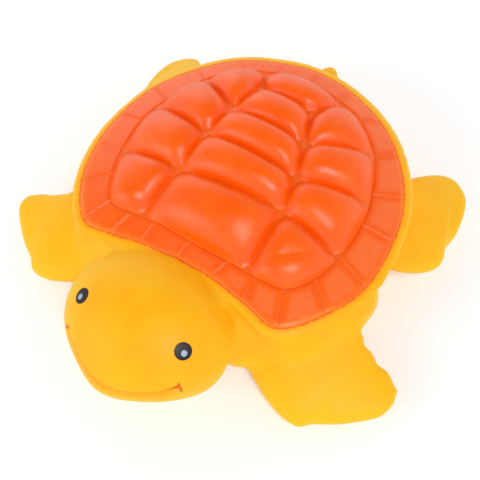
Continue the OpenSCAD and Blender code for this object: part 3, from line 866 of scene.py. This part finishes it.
def pillow(share, power):
    """Full round swelling: 0 at the groove, 1 at the middle."""
    return (1 - (1 - np.clip(share, 0, 1)) ** 2) ** power


def arch(share):
    """Swelling of a scute: steep at its foot and full on top."""
    full = 1 - (1 - share) ** arch_fullness
    low, high = arch_foot ** arch_power, (1 + arch_foot) ** arch_power
    return ((full + arch_foot) ** arch_power - low) / (high - low)


def film_height(plan, around, corners):
    """Height of an even film blown up over an outline, 1 at its top and lower near its corners.

    plan holds rings of points, then the middle.
    """
    rings = (len(plan) - 1) // around
    number = np.arange(rings * around).reshape(rings, around)
    inner, outer = number[1:], number[:-1]
    next_inner, next_outer = np.roll(inner, -1, 1), np.roll(outer, -1, 1)
    last = number[-1]
    middle = np.full(around, rings * around)
    parts = [(outer, next_outer, inner), (next_outer, next_inner, inner),
             (last, np.roll(last, -1), middle)]
    triangles = np.concatenate([np.stack([p.ravel() for p in part], 1) for part in parts])
    pull = np.zeros((len(plan), len(plan)))
    load = np.zeros(len(plan))
    for k in range(3):
        a, b, c = (triangles[:, (k + step) % 3] for step in (0, 1, 2))
        to_a, to_b = plan[a] - plan[c], plan[b] - plan[c]
        twice_area = np.abs(to_a[:, 0] * to_b[:, 1] - to_a[:, 1] * to_b[:, 0])
        share = (to_a * to_b).sum(1) / np.maximum(twice_area, 1e-9) / 2
        np.add.at(pull, (a, b), -share)
        np.add.at(pull, (b, a), -share)
        np.add.at(pull, (a, a), share)
        np.add.at(pull, (b, b), share)
        np.add.at(load, c, twice_area / 6)
    height = np.zeros(len(plan))
    free = slice(around, None)
    height[free] = np.linalg.solve(pull[free, free], load[free])
    for corner in corners:
        height *= 1 - np.exp(-((plan - corner) ** 2).sum(1) / corner_round ** 2)
    return np.maximum(height, 0) / height.max()


def bead(gap):
    """Rounded ridge along a groove."""
    return np.maximum(0, 1 - (gap / bead_width) ** 2)


def swell_patch(sides, is_tile):
    """Fills one scute or tile with rings of points and lifts them to its swelling."""
    loop = [v for s in sides for v in s[:-1]]
    face = shell_bm.faces.new(loop)
    border = np.array([v.co[:2] for v in loop]) / mm
    middle = border.mean(0)
    ahead = np.roll(border, -1, 0) - np.roll(border, 1, 0)
    normal = np.stack([ahead[:, 1], -ahead[:, 0]], 1) / np.linalg.norm(ahead, axis=1)[:, None]
    depth = np.abs(((border - middle) * normal).sum(1))
    for _ in range(4):
        depth = (np.roll(depth, 1) + depth + np.roll(depth, -1)) / 3
    parts = [np.minimum(gap / depth, 0.9) for gap in ring_gaps if gap < depth.min() * 0.6]
    last = parts[-1]
    parts += [last + (1 - last) * p for p in ring_parts]
    everything = [(loop, border)]
    for part in parts:
        bmesh.ops.inset_individual(shell_bm, faces=[face], thickness=0.00001)
        ring = [l.vert for l in face.loops]
        start = min(range(len(ring)), key=lambda i: (ring[i].co - loop[0].co).length)
        ring = ring[start:] + ring[:start]
        spots = border + (middle - border) * part[:, None]
        for vert, (x, y) in zip(ring, spots):
            vert.co = (x * mm, y * mm, 0)
        everything.append((ring, spots))
        loop = ring
    centre = bmesh.ops.poke(shell_bm, faces=[face])["verts"]
    centre[0].co = (middle[0] * mm, middle[1] * mm, 0)
    everything.append((centre, middle[None]))
    verts = [v for ring, _ in everything for v in ring]
    plan = np.concatenate([spots for _, spots in everything])
    gaps = np.array([away_from(plan, s) for s in sides])
    if is_tile:
        across, rim_gap, crease_gap = np.minimum(gaps[0], gaps[2]), gaps[1], gaps[3]
        slope = rim_gap / (rim_gap + crease_gap)
        lift = pillow((across - tile_groove) / tile_bevel, tile_power) \
            * pillow((crease_gap - crease_groove) / crease_bevel, tile_power) \
            * pillow(rim_gap / rim_bevel, rim_power)
        height = rim_height + (crease_height - rim_height) * slope + tile_swell * lift
        height = height - rim_sink * np.exp(-rim_gap / rim_sink_reach)
        height = height + tile_bead_share * bead_height * bead(across) * np.clip(rim_gap, 0, 1)
        nearest = np.minimum(across, crease_gap)
        to_rim = rim_gap
    else:
        film = film_height(plan, len(border), [np.array(s[0].co[:2]) / mm for s in sides])
        nearest = gaps.min(0)
        height = dome_height(plan) + scute_swell * arch(film)
        height = height + bead_height * bead(nearest)
        to_rim = np.full(len(plan), far_from_rim)
    for vert, z, gap, rim_gap in zip(verts, height, nearest, to_rim):
        if vert in borders:
            z = max(z, borders[vert])
        if gap < 1e-6 or rim_gap < 1e-6:
            borders[vert] = z
        vert.co.z = z * mm
        vert[groove_layer] = gap
        vert[rim_layer] = rim_gap
        vert[tile_layer] = is_tile


borders = {}
for sides in scute_sides:
    swell_patch(sides, False)
for sides in tile_sides:
    swell_patch(sides, True)
bmesh.ops.recalc_face_normals(shell_bm, faces=shell_bm.faces)
faced(shell_bm, Vector((0, 0, 1)))

# The shell's wall thins out towards the rim, where it lies on the lip
shell_wall = 1.7
rim_wall_share = 0.06
full_wall_gap = 3.4
shell = from_bmesh("shell", shell_bm)
thickness = shell.vertex_groups.new(name="thickness")
to_rim = np.empty(len(shell.data.vertices))
shell.data.attributes["to_rim"].data.foreach_get("value", to_rim)
for index, gap in enumerate(to_rim):
    share = np.clip(rim_wall_share + gap / full_wall_gap, rim_wall_share, 1)
    thickness.add([index], float(share), "REPLACE")
wall = shell.modifiers.new("wall", "SOLIDIFY")
wall.thickness = shell_wall * mm
wall.offset = -1
wall.vertex_group = "thickness"
shell = work_in(shell)
shell.vertex_groups.clear()

# Spray paint: thin and yellower towards the rim, with mist along the mask. Painted light on it: a
# lighter orange in the grooves and a grainy salmon painted highlight on the left edge tiles' tops
paint, tree, bsdf, where = shader("orange_paint", 0.3, 0.42)
pits, blotches = grain_on(tree, where, 6500.0)
from_groove = attribute(tree, "groove")
from_rim = attribute(tree, "to_rim")
on_tile = attribute(tree, "tile")
blotch = ramp(tree, blotches, 0.35, 0.65)
colour = mixed(tree, blotch, linear(255, 93, 2), linear(255, 99, 4))
sideways = put(tree, "SeparateXYZ", {0: where}, "X")
# Painted highlight: grainy salmon on the flat tops of the left edge tiles
left_more = ramp(tree, sideways, -0.02, 0.025, 0.15, 1)
flat = times(tree, ramp(tree, from_groove, 0.9, 2.2), ramp(tree, from_rim, 0.6, 2.0))
painted_highlight_on_tiles = times(tree, times(tree, on_tile, left_more), flat)
highlight_grain = ramp(tree, noise(tree, where, 5200, 2), 0.35, 0.7, 0.25, 0.75)
colour = mixed(tree, times(tree, painted_highlight_on_tiles, highlight_grain), colour, linear(255, 132, 74))
# Painted light: a lighter orange in the grooves, lifting their shade
colour = mixed(tree, ramp(tree, from_groove, 0.6, 0.1, 0, 0.5), colour, linear(255, 112, 12))
thin = math_of(tree, "MULTIPLY_ADD", noise(tree, where, 900, 4, 0.7), 2.2,
               math_of(tree, "ADD", from_rim, -1.1))
patchy = ramp(tree, noise(tree, where, 60, 2), 0.35, 0.65, 0.35, 1)
thinned = times(tree, ramp(tree, thin, 1.9, 0.0), patchy)
colour = mixed(tree, thinned, colour, linear(255, 128, 16))
colour = mixed(tree, ramp(tree, thin, 0.15, -0.6, 0, 0.7), colour, linear(255, 160, 14))
mist = times(tree, ramp(tree, noise(tree, where, 4200, 2), 0.62, 0.69), ramp(tree, from_rim, 0.5, 0.1))
colour = mixed(tree, times(tree, mist, 0.3), colour, linear(170, 50, 8))
spots = use_group(tree, dust, {"Place": where, "Spacing": 170.0, "Size": 0.026, "Share": 0.3})
colour = mixed(tree, times(tree, spots, 0.6), colour, linear(120, 40, 10))
finished(tree, bsdf, colour, pits, 0.00005, 0.7, ramp(tree, blotches, 0.3, 0.7, 0.2, 0.28))
shell.data.materials.append(paint)
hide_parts("shell_margin", "shell_dome")
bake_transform(shell)


# The eyes: glossy dark brown dots, pad-printed on the head, each with a pale blue dot printed over
# it. They are thin discs laid on the skin, with a rounded rim.

eye_middles = {1: (12.5, -49.8, 23), -1: (-12.4, -50.7, 22.8)}
eye_outwards = {1: (0.46, -0.24, 0.85), -1: (-0.45, -0.28, 0.84)}
dot_middles = {1: (12.85, -50, 22.8), -1: (-12.6, -51, 22.65)}
eye_radius = 1.8
ring_widths = [0.03, 0.1, 0.15] + [0.2] * 6
rounded_rim = 0.1
print_lift = 0.015
print_depth = 0.07
print_thickness = 0.25
dot_radius = 0.64
ray_start = 4

ink, tree, bsdf, where = shader("black_paint", 0.34, 0.3)
pits, blotches = grain_on(tree, where, 9000.0)
edge = math_of(tree, "MULTIPLY_ADD", noise(tree, where, 3000, 2), 0.16, attribute(tree, "from_dot"))
dark = mixed(tree, ramp(tree, pits, 0.9, 1.6), linear(26, 10, 12), linear(48, 28, 32))
blotch = ramp(tree, noise(tree, where, 4000, 2), 0.4, 0.65)
pale = mixed(tree, blotch, linear(176, 196, 214), linear(140, 162, 184))
colour = mixed(tree, ramp(tree, edge, dot_radius + 0.13, dot_radius + 0.03), dark, pale)
finished(tree, bsdf, colour, pits, 0.00003, 0.4)

surface = BVHTree.FromPolygons([v.co.copy() for v in skin.data.vertices],
                               [tuple(p.vertices) for p in skin.data.polygons])
for name, side in (("left", 1), ("right", -1)):
    out = Vector(eye_outwards[side]).normalized()
    middle = Vector(eye_middles[side]) * mm
    turned = out.to_track_quat("Z", "Y").to_matrix()
    bm = bmesh.new()
    dot_layer = bm.verts.layers.float.new("from_dot")
    bmesh.ops.create_circle(bm, cap_ends=True, segments=56, radius=eye_radius * mm)
    face = bm.faces[:][0]
    for width in ring_widths:
        bmesh.ops.inset_individual(bm, faces=[face], thickness=width * mm)
    bmesh.ops.poke(bm, faces=[face])
    for vert in bm.verts:
        in_rim = min(1, (eye_radius * mm - vert.co.length) / (rounded_rim * mm))
        start = middle + turned @ vert.co + out * ray_start * mm
        hit = surface.ray_cast(start, -out)
        vert.co = hit[0] + hit[1] * (print_lift + print_depth * max(0, in_rim) ** 0.5) * mm
        vert[dot_layer] = (vert.co / mm - Vector(dot_middles[side])).length
    bm.normal_update()
    faced(bm, out)
    eye = from_bmesh("eye_print_" + name, bm)
    depth = eye.modifiers.new("depth", "SOLIDIFY")
    depth.thickness = print_thickness * mm
    depth.offset = -1
    eye = work_in(eye)
    eye.data.materials.append(ink)
    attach(eye, "body")
    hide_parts("eye_" + name)


# The squeaker: a stock insert, pushed into the belly's socket. Its housing, slotted plate and cap are
# injection-moulded white plastic, and its reed is a thin clear film. The CAD's own solids show.

plastic, tree, bsdf, where = shader("white_plastic", 0.35, 0.5)
pits, blotches = grain_on(tree, where, 3000.0)
flow = put(tree, "TexWave", {"Vector": where, "Scale": 160.0, "Distortion": 6.0, "Detail": 3.0}, "Fac")
blotch = ramp(tree, blotches, 0.3, 0.7)
colour = mixed(tree, blotch, linear(232, 231, 224), linear(240, 239, 235))
colour = mixed(tree, times(tree, flow, 0.15), colour, linear(224, 221, 208))
spots = use_group(tree, dust, {"Place": where, "Spacing": 500.0, "Size": 0.06, "Share": 0.25})
colour = mixed(tree, times(tree, spots, 0.5), colour, linear(170, 160, 140))
finished(tree, bsdf, colour, pits, 0.00002, 0.3, ramp(tree, flow, 0, 1, 0.3, 0.42))

film, tree, bsdf, where = shader("reed_film", 0.3, 0.5)
drawn = put(tree, "Mapping", {"Vector": where, "Scale": (9000.0, 300.0, 300.0)})
lines = noise(tree, drawn, 1.0, 2)
colour = mixed(tree, lines, linear(190, 198, 200), linear(214, 219, 220))
finished(tree, bsdf, colour, lines, 0.00001, 0.3, ramp(tree, lines, 0.3, 0.7, 0.22, 0.4))

for node_name, finish in (("squeaker_housing", plastic), ("squeaker_plate", plastic),
                          ("squeaker_cap", plastic), ("squeaker_reed", film)):
    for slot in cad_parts[node_name].material_slots:
        slot.material = finish


# The floor and the light: a white sheet that brightens far off, a soft surround that is dim overhead,
# a small softbox over the toy's left shoulder, another before its right side and a large one behind.

floor_half_size = 2.5
floor_height = -0.0004
floor_bm = bmesh.new()
bmesh.ops.create_grid(floor_bm, x_segments=2, y_segments=2, size=floor_half_size)
bmesh.ops.translate(floor_bm, verts=floor_bm.verts, vec=(0, 0, floor_height))
floor = from_bmesh("floor", floor_bm)
paper, tree, bsdf, where = shader("floor_paper", 0.9, 0.2)
bsdf.inputs["Base Color"].default_value = (0.93, 0.93, 0.93, 1)
seen = put(tree, "LightPath", {}, "Is Camera Ray")
away = put(tree, "VectorMath", {0: where}, "Value", operation="LENGTH")
glow = times(tree, seen, ramp(tree, away, 0.25, 1.2, 0.17, 0.6))
tree.links.new(mixed(tree, glow, (0, 0, 0, 1), (1, 1, 1, 1)), bsdf.inputs["Emission Color"])
bsdf.inputs["Emission Strength"].default_value = 1
floor.data.materials.append(paper)

horizon_light = 1.42
overhead_light = 0.1
world = bpy.data.worlds.new("studio")
scene.world = world
world.use_nodes = True
tree = world.node_tree
upwards = put(tree, "SeparateXYZ", {0: put(tree, "TexCoord", {}, "Generated")}, "Z")
around = put(tree, "MapRange", {0: upwards, 1: 0.0, 2: 1.0, 3: horizon_light, 4: overhead_light})
seen = put(tree, "LightPath", {}, "Is Camera Ray")
strength = put(tree, "Mix", {0: seen, 2: around, 3: 1.0})
tree.nodes["Background"].inputs["Color"].default_value = (1, 1, 1, 1)
tree.links.new(strength, tree.nodes["Background"].inputs["Strength"])


def softbox(name, direction, distance, size, brightness):
    """Square lamp of so many metres that aims at the toy; brightness 1 shows as white."""
    lamp = bpy.data.lights.new(name, "AREA")
    lamp.shape = "SQUARE"
    lamp.size = size
    lamp.energy = brightness * math.pi * size * size
    box = bpy.data.objects.new(name, lamp)
    scene.collection.objects.link(box)
    box.location = Vector(direction).normalized() * distance
    box.rotation_euler = Vector(direction).to_track_quat("Z", "Y").to_euler()


softbox("softbox", (0.38, -0.33, 0.86), 0.7, 0.2, 15)
softbox("fill_box", (-0.51, -0.74, 0.5), 0.8, 0.2, 6)
softbox("back_box", (-0.7, 0.55, 0.5), 0.8, 0.5, 0.8)

# The camera stands where the photograph was taken from
camera_place = Vector((0.04405, -0.07985, 0.1357))
azimuth, elevation = math.radians(31.5), math.radians(59)
lens = bpy.data.cameras.new("camera")
lens.lens = 45
lens.sensor_width = 36
camera = bpy.data.objects.new("camera", lens)
scene.collection.objects.link(camera)
turned = Euler((math.pi / 2 - elevation, 0, azimuth))
camera.matrix_world = Matrix.LocRotScale(camera_place, turned, None)
scene.camera = camera
scene.view_settings.view_transform = "Standard"
